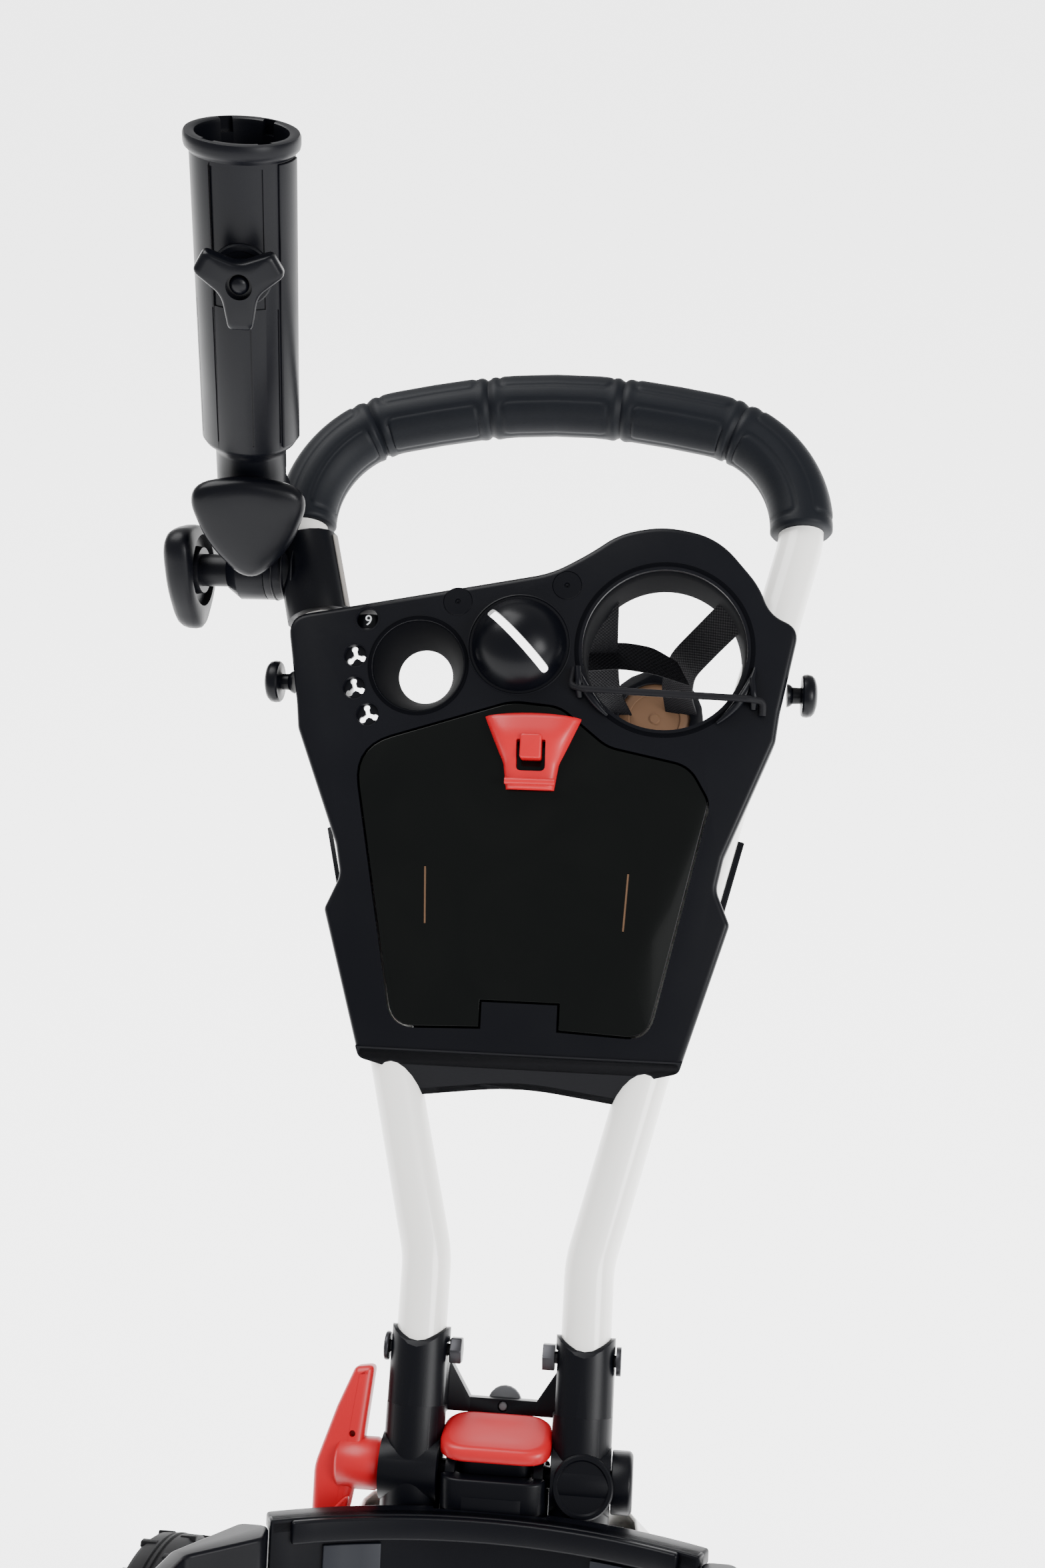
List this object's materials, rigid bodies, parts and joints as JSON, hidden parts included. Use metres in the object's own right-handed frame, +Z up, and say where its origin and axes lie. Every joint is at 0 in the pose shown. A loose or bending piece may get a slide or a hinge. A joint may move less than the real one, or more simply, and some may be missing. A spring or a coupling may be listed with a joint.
{
  "type": "golf push cart",
  "caption": "Folding golf push cart with a splayed handle, storage console, umbrella holder, padded grip, bag brackets and spinning wheels.",
  "frame": {"origin": "on the ground under the middle of the cart", "axes": "+Z up; +Y back towards the person pushing, where the handle rises; +X to the right of someone in front of the cart facing its grip, which is also what left and right in the names mean"},
  "size_m": [0.66, 1.0788, 1.2463],
  "materials": {
    "white_paint": "glossy white paint",
    "black_plastic": "satin black moulding",
    "soft_grip": "soft matt foam rubber",
    "red_plastic": "glossy red",
    "smoked_plastic": "glossy smoked black",
    "webbing": "woven black",
    "rubber_cord": "matt black elastic",
    "tyre": "matt black",
    "steel": "zinc plated",
    "grey_plastic": "grey moulding"
  },
  "bodies": {
    "frame": {"main_tube": "white_paint", "hinge_block": "black_plastic", "pivot_bolt": "black_plastic", "bag_cradle": "black_plastic", "leg_mount": "black_plastic", "left_leg_pin": "steel", "right_leg_pin": "steel", "lower_cradle": "black_plastic", "base_plate": "black_plastic", "front_fork": "black_plastic", "front_axle": "steel"},
    "handle": {"handle_tube": "white_paint", "grip": "soft_grip", "handle_yoke": "black_plastic", "bridge_bolt": "grey_plastic", "sleeve_bolt_left": "steel", "sleeve_bolt_right": "steel", "console": "black_plastic", "console_clamp_left": "black_plastic", "console_clamp_right": "black_plastic", "screw_cap_left": "black_plastic", "screw_cap_right": "black_plastic", "cord_hook_left": "black_plastic", "cord_hook_right": "black_plastic", "bottle_band": "rubber_cord", "base_ring": "black_plastic", "bottle_strap_left": "webbing", "bottle_strap_right": "webbing", "bottle_strap_front": "webbing", "umbrella_clamp": "black_plastic"},
    "button": {"push_button": "red_plastic"},
    "lever": {"clamp_lever": "red_plastic"},
    "drum": {"number_drum": "grey_plastic"},
    "lid_body": {"lid": "smoked_plastic"},
    "latch": {"lid_latch": "red_plastic"},
    "knuckle": {"umbrella_knuckle": "black_plastic"},
    "side_knob": {"umbrella_side_knob": "black_plastic"},
    "umbrella_holder": {"umbrella_tube": "black_plastic"},
    "front_knob": {"umbrella_front_knob": "black_plastic"},
    "tube_knob": {"umbrella_tube_knob": "black_plastic"},
    "arm_left": {"bag_arm_left": "black_plastic"},
    "arm_right": {"bag_arm_right": "black_plastic"},
    "leg_left": {"left_leg_tube": "white_paint", "left_axle_carrier": "black_plastic", "left_axle": "steel"},
    "leg_right": {"right_leg_tube": "white_paint", "right_axle_carrier": "black_plastic", "right_axle": "steel"},
    "wheel_left": {"left_tyre": "tyre", "left_rim": "black_plastic"},
    "wheel_right": {"right_tyre": "tyre", "right_rim": "black_plastic"},
    "wheel_front": {"front_tyre": "tyre", "front_rim": "black_plastic"},
    "brake": {"brake_pedal": "red_plastic"}
  },
  "joints": [
    {"name": "handle_fold", "type": "hinge", "parent": "frame", "child": "handle", "pos_m": [0, 0.06724, 0.7], "axis": [1, 0, 0], "range_deg": [0, 85]},
    {"name": "button_press", "type": "slide", "parent": "frame", "child": "button", "axis": [0, -0.6428, -0.766], "range_m": [0, 0.006], "stiffness_N_per_m": 600, "springref_m": -0.003},
    {"name": "clamp_turn", "type": "hinge", "parent": "frame", "child": "lever", "pos_m": [0, 0.06724, 0.7], "axis": [1, 0, 0], "range_deg": [-30, 75]},
    {"name": "drum_turn", "type": "hinge", "parent": "handle", "child": "drum", "pos_m": [-0.0946, 0.39363, 0.99049], "axis": [0, 0.7193, 0.6947], "continuous": true},
    {"name": "lid_open", "type": "hinge", "parent": "handle", "child": "lid_body", "pos_m": [0, 0.23127, 0.85386], "axis": [1, 0, 0], "range_deg": [0, 100]},
    {"name": "latch_slide", "type": "slide", "parent": "lid_body", "child": "latch", "axis": [0, -0.7193, -0.6947], "range_m": [0, 0.004], "stiffness_N_per_m": 300, "springref_m": -0.003},
    {"name": "umbrella_pitch", "type": "hinge", "parent": "handle", "child": "knuckle", "pos_m": [0, 0.4359, 1.00111], "axis": [1, 0, 0], "range_deg": [0, 50]},
    {"name": "side_knob_turn", "type": "hinge", "parent": "knuckle", "child": "side_knob", "pos_m": [0, 0.4359, 1.00111], "axis": [1, 0, 0], "continuous": true},
    {"name": "umbrella_roll", "type": "hinge", "parent": "knuckle", "child": "umbrella_holder", "pos_m": [-0.1676, 0.44114, 1.0448], "axis": [-0.164, 0.9863, 0.0187], "range_deg": [-70, 35]},
    {"name": "front_knob_turn", "type": "hinge", "parent": "umbrella_holder", "child": "front_knob", "pos_m": [-0.1676, 0.44114, 1.0448], "axis": [-0.164, 0.9863, 0.0187], "continuous": true},
    {"name": "tube_knob_turn", "type": "hinge", "parent": "umbrella_holder", "child": "tube_knob", "pos_m": [-0.15209, 0.44114, 1.18092], "axis": [-0.164, 0.9863, 0.0187], "continuous": true},
    {"name": "arm_fold_left", "type": "hinge", "parent": "frame", "child": "arm_left", "pos_m": [-0.108, -0.00048, 0.7033], "axis": [0, 0.6428, 0.766], "range_deg": [0, 40]},
    {"name": "arm_fold_right", "type": "hinge", "parent": "frame", "child": "arm_right", "pos_m": [0.108, -0.00048, 0.7033], "axis": [0, -0.6428, -0.766], "range_deg": [0, 40]},
    {"name": "leg_fold_left", "type": "hinge", "parent": "frame", "child": "leg_left", "pos_m": [-0.064, 0.06476, 0.64726], "axis": [-0.8907, -0.3482, 0.2922], "range_deg": [0, 50]},
    {"name": "leg_fold_right", "type": "hinge", "parent": "frame", "child": "leg_right", "pos_m": [0.064, 0.06476, 0.64726], "axis": [-0.8907, 0.3482, -0.2922], "range_deg": [0, 50]},
    {"name": "wheel_spin_left", "type": "hinge", "parent": "leg_left", "child": "wheel_left", "pos_m": [-0.3, 0.13524, 0.146], "axis": [1, 0, 0], "continuous": true},
    {"name": "wheel_spin_right", "type": "hinge", "parent": "leg_right", "child": "wheel_right", "pos_m": [0.3, 0.13524, 0.146], "axis": [1, 0, 0], "continuous": true},
    {"name": "wheel_spin_front", "type": "hinge", "parent": "frame", "child": "wheel_front", "pos_m": [0, -0.41935, 0.1201], "axis": [1, 0, 0], "continuous": true},
    {"name": "brake_swing", "type": "hinge", "parent": "leg_left", "child": "brake", "pos_m": [-0.262, 0.13524, 0.146], "axis": [1, 0, 0], "range_deg": [0, 25]}
  ],
  "couplings": [
    {"joint": "leg_fold_right", "follows": "leg_fold_left", "ratio": 1}
  ]
}
